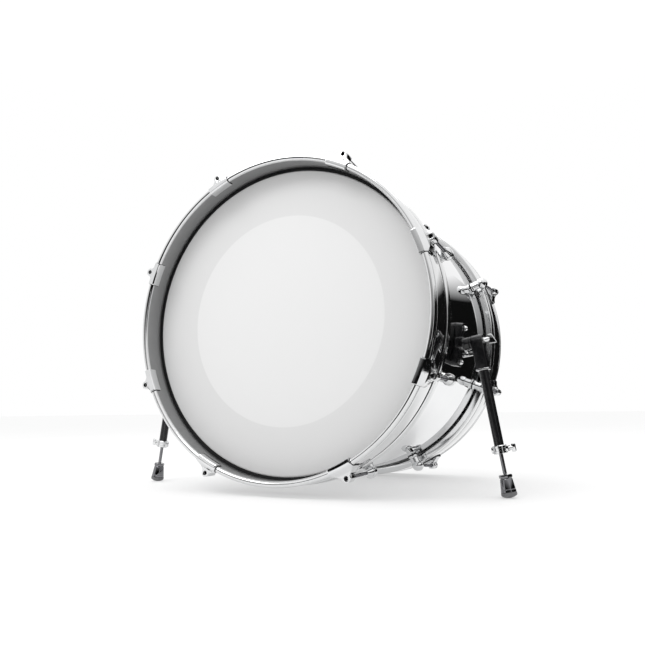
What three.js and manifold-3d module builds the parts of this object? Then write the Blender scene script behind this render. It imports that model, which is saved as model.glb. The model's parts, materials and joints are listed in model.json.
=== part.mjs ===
// A 22 x 16 inch bass drum on two folding spurs, in millimetres, +Z up.
// The floor is z = 0, the front head faces -Y, and the drum leans back on its rear hoop.
//
// The drum is built in a level frame of its own, with its axis along Y and its middle at
// the origin, and the whole of it is then tipped. At each end, s is the distance behind
// the middle of the hoop's bead towards the drum's middle, and r the distance from its axis.

import * as THREE from 'three';
import { mergeVertices } from 'three/addons/utils/BufferGeometryUtils.js';
import Module from 'manifold-3d';

const wasm = await Module();
wasm.setup();

const GAP = 0.3; // air between pieces that touch
const ROUND = 48; // facets round the drum's axis
const FRONT = -1;
const REAR = 1;

// Shell
const SHELL_RADIUS = 279.4;
const SHELL_THICKNESS = 7;
const SHELL_LENGTH = 406.4;
const BEARING_EDGE_BEVEL = 3;

// Hoops
const BEAD_SPACING = 485; // between the middles of the two hoops' beads
const BEAD_RING_RADIUS = 290;
const BEAD_RADIUS = 5.5;
const HOOP_WIDTH = 85; // from the middle of the bead to the back edge
const HOOP_INNER = BEAD_RING_RADIUS - BEAD_RADIUS;
const CHANNEL_RADIUS = 287; // of the channel inside that holds the flesh hoop
const SKIRT_INNER = 282.2;
const GROOVE_RADIUS = 291.5;
const BAND_RADIUS = 294.8;
const BAND_START = 10.5;
const BAND_END = 55;
const REAR_BEAD_START = 66;
const REAR_BEAD_RADIUS = 295.8;

// Heads
const FILM = 0.8;
const BEARING_EDGE = (BEAD_SPACING - SHELL_LENGTH) / 2;
const LEDGE = 46;
const COLLAR_END = 57;
const FLESH_HOOP_WIDTH = 12;
const OVERTONE_RING_INNER = 194;
const OVERTONE_RING_OUTER = 271;
const OVERTONE_RING_THICKNESS = 1;

// Stations of claw, rod and lug round each hoop, from the top
const STATION_ANGLES = [25.5, 69.2, 111.8, 153.2, 206.8, 248.2, 290.8, 334.5];
const ROD_RADIUS_AT_CLAW = 308;
const ROD_LEAN = THREE.MathUtils.degToRad(2.6); // towards the shell, away from the hoop
const HOOP_CLEARANCE = 0.9; // between claw and hoop, as both are faceted
const HOOK_REACH = BEAD_RADIUS + HOOP_CLEARANCE;
const CLAW_LIP = 9; // end of the hook inside the hoop, behind the bead's middle
const CLAW_FACE = 2.4;
const CLAW_BACK = 27;
const CLAW_HALF_WIDTH = 21.5;
const CLAW_SHOULDER = 294;
const CLAW_THICKNESS = 2.4;
const CLAW_BODY_TOP = 303.5;
const BOSS_RADIUS = 7.3;
const BARREL_RADIUS = 7.9;
const KEY_HOLE_RADIUS = 3.9;
const KEY_HOLE_DEPTH = 12;
const ROD_HOLE_RADIUS = 3.4;
const ROD_FACETS = 8;
const ROD_RADIUS = 3;
const ROD_START = 6; // along the rod, from the claw's face
const ROD_END = 112;
const LUG_START = 84;
const LUG_BALL_AT = 113;
const LUG_BALL_RADIUS = 11;
const LUG_FOOT_RADIUS = 9;
const LUG_FOOT_TOP = 300;

// Lean of the drum, set by the height of its front edge above the floor
const TIP = THREE.MathUtils.degToRad(1.9);
const AXIS_HEIGHT =
  BEAD_RING_RADIUS * Math.cos(TIP) + (BEAD_SPACING / 2) * Math.sin(TIP) + BEAD_RADIUS;

// Spurs, with heights up the leg from the sole
const SPUR_SETBACK = 146; // of the foot, behind the middle of the front bead
const LEG_SPLAY = THREE.MathUtils.degToRad(9.3);
const FOOT_SPREAD = 365;
const SOLE_CURVE = 22;
const FOOT_RADIUS = 13;
const FOOT_TOP_RADIUS = 9.8;
const FOOT_HEIGHT = 32;
const NUT_HEIGHT = 5.5;
const NUT_RADIUS = 11;
const LEG_ROD_RADIUS = 3.2;
const LEG_ROD_BOTTOM = 8;
const LEG_ROD_TOP = 200;
const CLAMP_BOTTOM = 72;
const CLAMP_SEAT = 76;
const CLAMP_TOP = 86;
const CLAMP_RADIUS = 12;
const CLAMP_EAR_REACH = 15;
const CLAMP_SCREW_START = 9;
const TUBE_RADIUS = 8;
const TUBE_BORE = 6;
const TUBE_TOP = 252;
const HOLDER_BOTTOM = 214;
const HOLDER_WIDTH = 20;
const HOLDER_DEPTH = 22;
const PIVOT_HEIGHT = 264;
const PIVOT_BOSS_RADIUS = 10.5;
const PIVOT_BOLT_RADIUS = 4;
const BOLT_HOLE_RADIUS = 4.4;
const PIVOT_HUB_LENGTH = 9;
const BOLT_DEPTH = 23; // inwards from the leg's axis
const BOSS_LENGTH = 16;
const LOCK_SCREW_X = -21;
const LOCK_SCREW_TOP = 258;
const WING_SHANK_RADIUS = 2.5;
const WING_HUB_RADIUS = 4.2;
const WING_HUB_LENGTH = 5;
const WING_THICKNESS = 3;
const PLATE_ANGLE = 99;
const PLATE_SETBACK = 184;
const PLATE_HALF_LENGTH = 39;
const PLATE_HALF_WIDTH = 17;
const PLATE_TOP = 290.5; // distance of its flat outer face from the drum's axis
const ARM_HALF_HEIGHT = 9;
const ARM_INNER = 286; // sides of the arm, measured sideways from the drum's axis
const ARM_OUTER = 303;

const AXIS_X = new THREE.Vector3(1, 0, 0);
const AXIS_Y = new THREE.Vector3(0, 1, 0);
const AXIS_Z = new THREE.Vector3(0, 0, 1);

const chrome = new THREE.MeshStandardMaterial({ color: 0xd9dbde, roughness: 0.08, metalness: 1 });
const shellFinish = new THREE.MeshStandardMaterial({ color: 0xcfd1d4, roughness: 0.05, metalness: 1 });
const coatedFilm = new THREE.MeshStandardMaterial({ color: 0xe9e9ea, roughness: 0.45, metalness: 0 });
const aluminium = new THREE.MeshStandardMaterial({ color: 0xb5b8bb, roughness: 0.35, metalness: 1 });
const blackEnamel = new THREE.MeshStandardMaterial({ color: 0x1b1c1e, roughness: 0.25, metalness: 0.4 });
const blackRubber = new THREE.MeshStandardMaterial({ color: 0x2a2a2b, roughness: 0.7, metalness: 0 });

// --- helpers -------------------------------------------------------------------------------

function solid(geometry) {
  const bare = geometry.clone();
  bare.deleteAttribute('normal');
  bare.deleteAttribute('uv');
  const merged = mergeVertices(bare, 1e-4);
  const corners = merged.index.array;
  const kept = [];
  for (let i = 0; i < corners.length; i += 3) {
    const [a, b, c] = corners.slice(i, i + 3);
    if (a !== b && b !== c && c !== a) kept.push(a, b, c);
  }
  return new wasm.Manifold(new wasm.Mesh({
    numProp: 3,
    vertProperties: merged.attributes.position.array,
    triVerts: Uint32Array.from(kept),
  }));
}

function geometryOf(body) {
  const mesh = body.getMesh();
  const geometry = new THREE.BufferGeometry();
  geometry.setAttribute('position', new THREE.BufferAttribute(mesh.vertProperties, mesh.numProp));
  geometry.setIndex(new THREE.BufferAttribute(mesh.triVerts, 1));
  geometry.computeVertexNormals();
  return geometry;
}

function named(name, shape, material) {
  const geometry = shape.isBufferGeometry ? shape : geometryOf(shape);
  const mesh = new THREE.Mesh(geometry, material);
  mesh.name = name;
  return mesh;
}

// Points along an arc, its two ends included, from angle a0 to a1 in degrees.
function arc(cx, cy, radius, a0, a1, steps) {
  return Array.from({ length: steps + 1 }, (_, i) => {
    const a = THREE.MathUtils.degToRad(a0 + ((a1 - a0) * i) / steps);
    return [cx + radius * Math.cos(a), cy + radius * Math.sin(a)];
  });
}

// A body turned round Y from [r, y] points that run anticlockwise with r to the right.
function turned(points, facets) {
  const outline = points.map(([r, y]) => new THREE.Vector2(r, y));
  if (points[0][0] > 0) outline.push(outline[0]);
  return new THREE.LatheGeometry(outline, facets);
}

// The same, turned round Z.
function turnedUp(points, facets) {
  return turned(points, facets).rotateX(Math.PI / 2);
}

function cylinderUp(radius, bottom, top, facets = 16) {
  return new THREE.CylinderGeometry(radius, radius, top - bottom, facets)
    .rotateX(Math.PI / 2)
    .translate(0, 0, (bottom + top) / 2);
}

function cylinderAcross(radius, left, right, facets = 16) {
  return new THREE.CylinderGeometry(radius, radius, right - left, facets)
    .rotateZ(Math.PI / 2)
    .translate((left + right) / 2, 0, 0);
}

// A flat outline of [x, y] points, made thick from z = bottom to z = top.
function plate(points, bottom, top) {
  const shape = new THREE.Shape(points.map(([x, y]) => new THREE.Vector2(x, y)));
  return new THREE.ExtrudeGeometry(shape, { depth: top - bottom, bevelEnabled: false })
    .translate(0, 0, bottom);
}

function roundedRectangle(halfX, halfY, radius, steps = 3) {
  return [
    ...arc(halfX - radius, halfY - radius, radius, 0, 90, steps),
    ...arc(radius - halfX, halfY - radius, radius, 90, 180, steps),
    ...arc(radius - halfX, radius - halfY, radius, 180, 270, steps),
    ...arc(halfX - radius, radius - halfY, radius, 270, 360, steps),
  ];
}

// --- shell, hoops and heads ----------------------------------------------------------------

function shellTube() {
  const inner = SHELL_RADIUS - SHELL_THICKNESS;
  const edge = SHELL_LENGTH / 2;
  const crest = SHELL_RADIUS - BEARING_EDGE_BEVEL;
  return solid(turned([
    [SHELL_RADIUS, BEARING_EDGE_BEVEL - edge],
    [SHELL_RADIUS, edge - BEARING_EDGE_BEVEL],
    [crest, edge],
    [inner, edge - SHELL_THICKNESS + BEARING_EDGE_BEVEL],
    [inner, SHELL_THICKNESS - BEARING_EDGE_BEVEL - edge],
    [crest, -edge],
  ], ROUND));
}

// Bead at the front edge, flat band, groove, second bead, and inside a channel whose
// front ledge presses on the flesh hoop.
function hoop() {
  const lip = (REAR_BEAD_RADIUS - GROOVE_RADIUS) / 2;
  const channelEnd = LEDGE + FLESH_HOOP_WIDTH + 2 * GAP;
  return turned([
    [HOOP_INNER, LEDGE],
    ...arc(BEAD_RING_RADIUS, 0, BEAD_RADIUS, 180, 390, 7),
    [GROOVE_RADIUS, BAND_START - 2],
    [BAND_RADIUS, BAND_START],
    [BAND_RADIUS, BAND_END],
    [GROOVE_RADIUS, BAND_END + 1.5],
    [GROOVE_RADIUS, REAR_BEAD_START - 1.5],
    [REAR_BEAD_RADIUS, REAR_BEAD_START + lip],
    [REAR_BEAD_RADIUS, HOOP_WIDTH - lip],
    [REAR_BEAD_RADIUS - lip, HOOP_WIDTH],
    [SKIRT_INNER, HOOP_WIDTH],
    [SKIRT_INNER, channelEnd],
    [CHANNEL_RADIUS, channelEnd],
    [CHANNEL_RADIUS, LEDGE],
  ], ROUND);
}

// Flat film that folds over the bearing edge into a collar outside the shell.
function head() {
  const under = BEARING_EDGE - GAP;
  const over = under - FILM;
  const collarInner = SHELL_RADIUS + GAP + 0.05;
  const collarOuter = collarInner + FILM;
  const fold = BEARING_EDGE_BEVEL;
  return turned([
    [0, over],
    [collarOuter - fold - FILM / 2, over],
    [collarOuter, over + fold + FILM / 2],
    [collarOuter, COLLAR_END],
    [collarInner, COLLAR_END],
    [collarInner, under + fold],
    [collarInner - fold, under],
    [0, under],
  ], ROUND);
}

function fleshHoop() {
  const inner = SHELL_RADIUS + 2 * GAP + 0.05 + FILM;
  const outer = CHANNEL_RADIUS - GAP;
  const top = LEDGE + GAP;
  return turned([
    [inner, top],
    [outer, top],
    [outer, top + FLESH_HOOP_WIDTH],
    [inner, top + FLESH_HOOP_WIDTH],
  ], ROUND);
}

// A ring of film held behind the front head, which damps its edge.
function overtoneRing() {
  const top = BEARING_EDGE + GAP;
  return turned([
    [OVERTONE_RING_INNER, top],
    [OVERTONE_RING_OUTER, top],
    [OVERTONE_RING_OUTER, top + OVERTONE_RING_THICKNESS],
    [OVERTONE_RING_INNER, top + OVERTONE_RING_THICKNESS],
  ], ROUND);
}

// --- claws, rods and lugs --------------------------------------------------------------------
// Their frame has X along the hoop, Y inwards from the bead's middle, and Z away from the axis.

// Carries a shape made round the Z axis, upwards from 0, on to the rod's axis.
function onRodAxis(geometry) {
  return geometry
    .rotateX(-Math.PI / 2 - ROD_LEAN)
    .translate(0, CLAW_FACE, ROD_RADIUS_AT_CLAW);
}

// The claw from the side, as [distance behind the bead, radius], before the hoop is cut out.
function clawSide() {
  const front = -HOOK_REACH - CLAW_THICKNESS;
  const bottom = HOOP_INNER - HOOP_CLEARANCE - CLAW_THICKNESS;
  const tip = ROD_RADIUS_AT_CLAW + BOSS_RADIUS + 1;
  const flangeBack = CLAW_FACE + CLAW_THICKNESS + 1;
  return [
    [CLAW_LIP, bottom],
    [CLAW_LIP, BEAD_RING_RADIUS],
    [CLAW_BACK, BEAD_RING_RADIUS],
    [CLAW_BACK, CLAW_BODY_TOP],
    [flangeBack, CLAW_BODY_TOP],
    [flangeBack, tip],
    [CLAW_FACE, tip],
    [CLAW_FACE, ROD_RADIUS_AT_CLAW - BOSS_RADIUS],
    [front, BEAD_RING_RADIUS + 2],
    [front, bottom + 2],
    [front + 2, bottom],
  ];
}

// The claw from the front: straight along the hoop, then drawn in to the round boss.
function clawFront() {
  const bottom = HOOP_INNER - HOOP_CLEARANCE - CLAW_THICKNESS - 1;
  const rise = ROD_RADIUS_AT_CLAW - CLAW_SHOULDER;
  const flank = [0.33, 0.67].map((t) => [
    CLAW_HALF_WIDTH + (BOSS_RADIUS - CLAW_HALF_WIDTH) * Math.sin((t * Math.PI) / 2),
    CLAW_SHOULDER + rise * t,
  ]);
  const right = [[CLAW_HALF_WIDTH, bottom], [CLAW_HALF_WIDTH, CLAW_SHOULDER], ...flank];
  const left = right.map(([x, y]) => [-x, y]).reverse();
  return [...right, ...arc(0, ROD_RADIUS_AT_CLAW, BOSS_RADIUS, 0, 180, 4), ...left];
}

// The room that the hoop's bead and band take up inside a claw.
function hoopClearance() {
  const outer = REAR_BEAD_RADIUS + HOOP_CLEARANCE;
  return turned([
    [HOOP_INNER - HOOP_CLEARANCE, HOOP_WIDTH],
    ...arc(BEAD_RING_RADIUS, 0, HOOK_REACH, 180, 360, 6),
    [outer, HOOK_REACH],
    [outer, HOOP_WIDTH],
  ], 2 * ROUND);
}

function claw() {
  const side = plate(clawSide(), -CLAW_HALF_WIDTH - 1, CLAW_HALF_WIDTH + 1)
    .applyMatrix4(new THREE.Matrix4().makeBasis(AXIS_Y, AXIS_Z, AXIS_X));
  const front = plate(clawFront(), -CLAW_BACK - 1, HOOK_REACH + CLAW_THICKNESS + 1)
    .rotateX(Math.PI / 2);
  const barrel = onRodAxis(cylinderUp(BARREL_RADIUS, 2, CLAW_BACK - CLAW_FACE, 6));
  const keyHole = onRodAxis(cylinderUp(KEY_HOLE_RADIUS, -3, KEY_HOLE_DEPTH, ROD_FACETS));
  const rodHole = onRodAxis(cylinderUp(ROD_HOLE_RADIUS, 0, CLAW_BACK + 3, ROD_FACETS));
  return solid(side).intersect(solid(front))
    .subtract(solid(hoopClearance()))
    .add(solid(barrel))
    .subtract(solid(keyHole))
    .subtract(solid(rodHole));
}

// Threaded rod with a flange and a square for the drum key, both sunk in the claw's boss.
function tensionRod() {
  const flangeTop = KEY_HOLE_DEPTH - GAP;
  const stem = turnedUp([
    [0, flangeTop - 2],
    [KEY_HOLE_RADIUS - GAP, flangeTop - 2],
    [KEY_HOLE_RADIUS - GAP, flangeTop],
    [ROD_RADIUS, flangeTop],
    [ROD_RADIUS, ROD_END],
    [0, ROD_END],
  ], ROD_FACETS);
  const square = cylinderUp(KEY_HOLE_RADIUS - GAP, ROD_START, flangeTop - 1, 4);
  return solid(onRodAxis(stem)).add(solid(onRodAxis(square)));
}

// Conical nose that takes the rod, a ball behind it, and a foot on the shell.
function lug() {
  const body = turnedUp([
    [0, LUG_START],
    [5.2, LUG_START],
    [8.4, LUG_BALL_AT - 9.5],
    ...arc(0, LUG_BALL_AT, LUG_BALL_RADIUS, -35, 55, 2),
    [0, LUG_BALL_AT + LUG_BALL_RADIUS],
  ], ROD_FACETS);
  const bore = cylinderUp(ROD_HOLE_RADIUS, LUG_START - 1, ROD_END + 1, ROD_FACETS);
  const foot = cylinderUp(LUG_FOOT_RADIUS, SHELL_RADIUS - SHELL_THICKNESS / 2, LUG_FOOT_TOP, ROD_FACETS)
    .translate(0, CLAW_FACE + LUG_BALL_AT, 0);
  return solid(onRodAxis(body)).add(solid(foot)).subtract(solid(onRodAxis(bore)));
}

// Puts something from the frame of one end's hoop or station into the drum's frame.
function atStation(object, end, angle) {
  object.position.y = (end * BEAD_SPACING) / 2;
  object.rotation.set(0, THREE.MathUtils.degToRad(angle), end === FRONT ? 0 : Math.PI);
  return object;
}

function shellWithLugs() {
  let shell = shellTube();
  const lugShape = geometryOf(lug());
  for (const end of [FRONT, REAR]) {
    for (const angle of STATION_ANGLES) {
      const place = atStation(new THREE.Object3D(), end, angle);
      place.updateMatrix();
      shell = shell.add(solid(lugShape.clone().applyMatrix4(place.matrix)));
    }
  }
  return shell;
}

// --- spurs -----------------------------------------------------------------------------------
// The leg's frame has its origin in the middle of the sole, Z up the leg, and X outwards.
// Seen from the side, the leg stands plumb while the drum leans.

function legPlace() {
  const place = new THREE.Object3D();
  const y = SPUR_SETBACK - BEAD_SPACING / 2;
  const z = (SOLE_CURVE - AXIS_HEIGHT + y * Math.sin(TIP)) / Math.cos(TIP);
  place.rotation.set(TIP, -LEG_SPLAY, 0);
  place.position.set(FOOT_SPREAD, y, z);
  place.translateZ(-SOLE_CURVE);
  place.updateMatrix();
  return place.matrix;
}

// Plate hollowed to fit the shell, an arm forward from it, and the boss that the leg turns on.
function spurBracket() {
  const y = PLATE_SETBACK - BEAD_SPACING / 2;
  const outline = roundedRectangle(PLATE_HALF_LENGTH, PLATE_HALF_WIDTH, 7, 2);
  const flange = plate(outline, SHELL_RADIUS - 15, PLATE_TOP)
    .rotateY(THREE.MathUtils.degToRad(PLATE_ANGLE))
    .translate(0, y, 0);
  const leg = legPlace();
  const pivot = new THREE.Vector3(0, 0, PIVOT_HEIGHT).applyMatrix4(leg);
  const armOutline = roundedRectangle((ARM_OUTER - ARM_INNER) / 2, ARM_HALF_HEIGHT, 3, 1);
  const arm = plate(armOutline, 0, y + PLATE_HALF_WIDTH / 2 - pivot.y)
    .rotateX(-Math.PI / 2)
    .translate((ARM_OUTER + ARM_INNER) / 2, pivot.y, pivot.z);
  const hollow = SHELL_RADIUS + GAP;
  const room = new THREE.CylinderGeometry(hollow, hollow, 160, ROUND)
    .translate(0, y, 0);
  const bossEnd = -HOLDER_WIDTH / 2 - GAP;
  const boss = cylinderAcross(PIVOT_BOSS_RADIUS, bossEnd - BOSS_LENGTH, bossEnd)
    .translate(0, 0, PIVOT_HEIGHT);
  const boltHole = cylinderAcross(BOLT_HOLE_RADIUS, -BOLT_DEPTH - GAP, 0, 12)
    .translate(0, 0, PIVOT_HEIGHT);
  const lockHole = cylinderUp(WING_SHANK_RADIUS + GAP, LOCK_SCREW_TOP - 20, LOCK_SCREW_TOP + GAP, 8)
    .translate(LOCK_SCREW_X, 0, 0);
  return solid(flange)
    .add(solid(arm))
    .add(solid(boss.applyMatrix4(leg)))
    .subtract(solid(room))
    .subtract(solid(boltHole.applyMatrix4(leg)))
    .subtract(solid(lockHole.applyMatrix4(leg)));
}

// Block that the tube sits in, round at the top about the pivot, with a lip at its mouth.
function legHolder() {
  const half = HOLDER_DEPTH / 2;
  const side = [
    [-half, HOLDER_BOTTOM],
    [half, HOLDER_BOTTOM],
    ...arc(0, PIVOT_HEIGHT, half, 0, 180, 6),
  ];
  const top = PIVOT_HEIGHT + half + 1;
  const across = plate(side, -HOLDER_WIDTH / 2, HOLDER_WIDTH / 2)
    .applyMatrix4(new THREE.Matrix4().makeBasis(AXIS_Y, AXIS_Z, AXIS_X));
  const along = plate(roundedRectangle(HOLDER_WIDTH / 2, half, 3, 2), HOLDER_BOTTOM, top);
  const lip = plate(
    roundedRectangle(HOLDER_WIDTH / 2 + 1.2, half + 1.2, 4, 2),
    HOLDER_BOTTOM - 1,
    HOLDER_BOTTOM + 3,
  );
  const bore = cylinderUp(TUBE_RADIUS + GAP, HOLDER_BOTTOM - 2, TUBE_TOP + GAP);
  const boltHole = cylinderAcross(BOLT_HOLE_RADIUS, -HOLDER_WIDTH, HOLDER_WIDTH, 12)
    .translate(0, 0, PIVOT_HEIGHT);
  return solid(across).intersect(solid(along)).add(solid(lip))
    .subtract(solid(bore))
    .subtract(solid(boltHole));
}

// Screw along X with a flat wing: shank up to the hub, hub, then a wing standing along Z.
function wingScrew(shankRadius, shankStart, hubStart, wing, hubLength = WING_HUB_LENGTH) {
  const hubEnd = hubStart + hubLength;
  const hub = cylinderAcross(WING_HUB_RADIUS, hubStart, hubEnd, 10);
  const shank = cylinderAcross(shankRadius, shankStart, hubStart + 1, 10);
  const blade = plate(wing, -WING_THICKNESS / 2, WING_THICKNESS / 2)
    .translate(hubEnd - 1, 0, 0)
    .rotateX(Math.PI / 2);
  return solid(hub).add(solid(shank)).add(solid(blade));
}

function pivotWingBolt() {
  const wing = [[0, -8], [13, -8], [7, 8], [0, 8]];
  const hubStart = HOLDER_WIDTH / 2 + GAP;
  return geometryOf(wingScrew(PIVOT_BOLT_RADIUS, -BOLT_DEPTH, hubStart, wing, PIVOT_HUB_LENGTH))
    .translate(0, 0, PIVOT_HEIGHT);
}

function lockWingScrew() {
  const wing = [[0, -10], [8, -8], [8, 8], [0, 10]];
  const hubStart = LOCK_SCREW_TOP - PIVOT_HEIGHT + PIVOT_BOSS_RADIUS + GAP;
  return geometryOf(wingScrew(WING_SHANK_RADIUS, 0, hubStart, wing))
    .rotateY(Math.PI / 2)
    .translate(LOCK_SCREW_X, 0, LOCK_SCREW_TOP);
}

function legTube() {
  return turnedUp([
    [TUBE_BORE, CLAMP_SEAT + GAP],
    [TUBE_RADIUS, CLAMP_SEAT + GAP],
    [TUBE_RADIUS, TUBE_TOP],
    [TUBE_BORE, TUBE_TOP],
  ], 16);
}

// Ring on the end of the tube that closes down on the rod, with an ear for its screw.
function clampCollar() {
  const middle = (CLAMP_BOTTOM + CLAMP_TOP) / 2;
  const ring = cylinderUp(CLAMP_RADIUS, CLAMP_BOTTOM, CLAMP_TOP);
  const ear = new THREE.BoxGeometry(CLAMP_EAR_REACH, 10, 10)
    .translate(CLAMP_EAR_REACH / 2, 0, middle);
  const seat = cylinderUp(TUBE_RADIUS + GAP, CLAMP_SEAT, CLAMP_TOP + 1);
  const rodHole = cylinderUp(LEG_ROD_RADIUS + GAP, CLAMP_BOTTOM - 1, CLAMP_SEAT + 1, 12);
  const screwHole = cylinderAcross(WING_SHANK_RADIUS + GAP, CLAMP_SCREW_START - GAP, 30, 12)
    .translate(0, 0, middle);
  return solid(ring).add(solid(ear))
    .subtract(solid(seat))
    .subtract(solid(rodHole))
    .subtract(solid(screwHole));
}

function clampWingScrew() {
  const wing = [[0, -7], [7, -7], [7, 7], [0, 7]];
  const hubStart = CLAMP_EAR_REACH + GAP;
  return geometryOf(wingScrew(WING_SHANK_RADIUS, CLAMP_SCREW_START, hubStart, wing))
    .translate(0, 0, (CLAMP_BOTTOM + CLAMP_TOP) / 2);
}

function legRod() {
  return cylinderUp(LEG_ROD_RADIUS, LEG_ROD_BOTTOM, LEG_ROD_TOP, 12);
}

function footNut() {
  const bottom = FOOT_HEIGHT + GAP;
  const hexagon = cylinderUp(NUT_RADIUS, bottom, bottom + NUT_HEIGHT, 6);
  const hole = cylinderUp(LEG_ROD_RADIUS + GAP, bottom - 1, bottom + NUT_HEIGHT + 1, 12);
  return solid(hexagon).subtract(solid(hole));
}

// Cone with a domed sole, screwed on the end of the rod.
function foot() {
  const hole = LEG_ROD_RADIUS + GAP;
  const soleEdge = THREE.MathUtils.radToDeg(Math.asin((FOOT_RADIUS - 0.5) / SOLE_CURVE));
  return turnedUp([
    ...arc(0, SOLE_CURVE, SOLE_CURVE, -90, soleEdge - 90, 3),
    [FOOT_RADIUS, 5],
    [FOOT_TOP_RADIUS, FOOT_HEIGHT],
    [hole, FOOT_HEIGHT],
    [hole, LEG_ROD_BOTTOM - GAP],
    [0, LEG_ROD_BOTTOM - GAP],
  ], 16);
}

// --- assembly --------------------------------------------------------------------------------

function addHoopsAndHeads(drum) {
  const ends = [[FRONT, 'front'], [REAR, 'rear']];
  const shapes = [['hoop', hoop, chrome], ['head', head, coatedFilm], ['flesh_hoop', fleshHoop, aluminium]];
  for (const [end, endName] of ends) {
    for (const [pieceName, shape, material] of shapes) {
      drum.add(atStation(named(`${endName}_${pieceName}`, shape(), material), end, 0));
    }
  }
  drum.add(atStation(named('overtone_ring', overtoneRing(), coatedFilm), FRONT, 0));
}

function addStations(drum) {
  const clawShape = geometryOf(claw());
  const rodShape = geometryOf(tensionRod());
  for (const [end, endName] of [[FRONT, 'front'], [REAR, 'rear']]) {
    STATION_ANGLES.forEach((angle, i) => {
      drum.add(atStation(named(`${endName}_claw_${i + 1}`, clawShape, chrome), end, angle));
      drum.add(atStation(named(`${endName}_tension_rod_${i + 1}`, rodShape, chrome), end, angle));
    });
  }
}

function addSpur(drum, sideName, side) {
  const spur = new THREE.Group();
  spur.scale.x = side;
  spur.add(named(`${sideName}_spur_bracket`, spurBracket(), blackEnamel));
  const leg = new THREE.Group();
  leg.applyMatrix4(legPlace());
  leg.add(
    named(`${sideName}_leg_holder`, legHolder(), blackEnamel),
    named(`${sideName}_pivot_wing_bolt`, pivotWingBolt(), chrome),
    named(`${sideName}_lock_wing_screw`, lockWingScrew(), chrome),
    named(`${sideName}_leg_tube`, legTube(), blackEnamel),
    named(`${sideName}_clamp_collar`, clampCollar(), chrome),
    named(`${sideName}_clamp_wing_screw`, clampWingScrew(), chrome),
    named(`${sideName}_leg_rod`, legRod(), chrome),
    named(`${sideName}_foot_nut`, footNut(), chrome),
    named(`${sideName}_foot`, foot(), blackRubber),
  );
  spur.add(leg);
  drum.add(spur);
}

const drum = new THREE.Group();
drum.rotation.x = -TIP;
drum.position.z = AXIS_HEIGHT;
drum.add(named('shell', shellWithLugs(), shellFinish));
addHoopsAndHeads(drum);
addStations(drum);
addSpur(drum, 'right', 1);
addSpur(drum, 'left', -1);

const bassDrum = new THREE.Group();
bassDrum.add(drum);

export default bassDrum;
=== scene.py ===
"""Looks of a 22 x 16 inch bass drum with chrome shell and hoops, on two folding spurs.

Outlines are in millimetres and become metres as each mesh is made. Three frames are worked
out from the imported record's joints:
- the drum's: Y along its axis from the front head to the rear one, origin in its middle
- a station's, at each tension rod: X along the hoop, Y inwards from the middle of the hoop's
  bead, and Z away from the drum's axis
- a leg's: origin in the middle of the sole, Z up the leg, X outwards on the right-hand leg
"""

import json
import math

import bmesh
import bpy
from mathutils import Matrix, Vector


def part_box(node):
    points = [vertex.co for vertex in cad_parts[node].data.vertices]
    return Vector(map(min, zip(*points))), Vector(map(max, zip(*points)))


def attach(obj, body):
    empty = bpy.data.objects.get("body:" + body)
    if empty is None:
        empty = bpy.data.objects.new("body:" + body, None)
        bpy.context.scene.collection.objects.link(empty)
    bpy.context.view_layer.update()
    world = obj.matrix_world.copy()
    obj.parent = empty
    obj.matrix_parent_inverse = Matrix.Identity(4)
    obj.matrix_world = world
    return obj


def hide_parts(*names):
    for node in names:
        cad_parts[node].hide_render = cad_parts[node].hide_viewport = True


MM = 0.001
FACETS = 288  # round the drum's axis
ENDS = ("front", "rear")
SIDES = ("right", "left")
STATIONS = range(1, 9)

# Shell and heads
SHELL_RADIUS = 279.4
SHELL_INNER = 272.4
SHELL_HALF = 203.2
FILM = 0.8
FILM_FACE = 38.2  # behind the middle of the bead
FILM_RADIUS = 280.5
COLLAR_END = 57
OVERTONE_RING_INNER = 194

# Hoops
BEAD_RING_RADIUS = 290
BEAD_RADIUS = 5.5
HOOP_INNER = 284.5
CHANNEL_RADIUS = 287
CHANNEL_END = 58.6
SKIRT_INNER = 282.2
GROOVE_RADIUS = 291.4
BAND_RADIUS = 294.8
LEDGE = 46
HOOP_WIDTH = 85
REAR_BEAD_RADIUS = 295.8

# Claws, rods and lugs
CLAW_FACE = 2.4
ROD_RADIUS_AT_CLAW = 308
ROD_LEAN = math.radians(2.6)
CLAW_HALF_WIDTH = 21.5
CLAW_SHOULDER = 297.3
CLAW_BODY_TOP = 303.5
CLAW_BACK = 27
BOSS_RADIUS = 7.3
BOSS_FOOT = 300.7
LIP_BOTTOM = 281.9
CLAW_FRONT = -8.3
GASKET = 0.5
KEY_HOLE_RADIUS = 3.9
THREAD_RADIUS = 3.0
THREAD_PITCH = 1.25
THREAD_DEPTH = 0.42
LUG_NOSE = 84
LUG_BALL_AT = 113
LUG_BALL_RADIUS = 11

# Spurs
FOOT_HEIGHT = 32
SOLE_CURVE = 22
NUT_RADIUS = 11
LEG_ROD_RADIUS = 3.2
LEG_ROD_TOP = 200
LEG_ROD_HOLE_RADIUS = 3.5
CLAMP_BOTTOM = 72
CLAMP_TOP = 86
TUBE_RADIUS = 8
TUBE_TOP = 252
TUBE_BORE_RADIUS = 8.25  # of what the tube sits in
HOLDER_BOTTOM = 214
HOLDER_WIDTH = 20
HOLDER_DEPTH = 22
PIVOT_HEIGHT = 264
PIVOT_BOSS_RADIUS = 10.5
BOSS_LENGTH = 16
BOLT_DEPTH = 23  # inwards from the leg's axis
BOLT_HOLE_RADIUS = 4.4
SPUR_GAP = 0.3  # between neighbouring pieces of a spur
LOCK_SCREW_X = -21
LOCK_SCREW_DROP = 6  # of its tip, below the pivot
PLATE_ANGLE = 99
PLATE_SETBACK = 184
PLATE_HALF_LENGTH = 39
PLATE_HALF_WIDTH = 17
PLATE_TOP = 290.5
PLATE_SCREW_OFFSET = 31
ARM_INNER = 286
ARM_OUTER = 303
ARM_HALF_HEIGHT = 9

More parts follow.
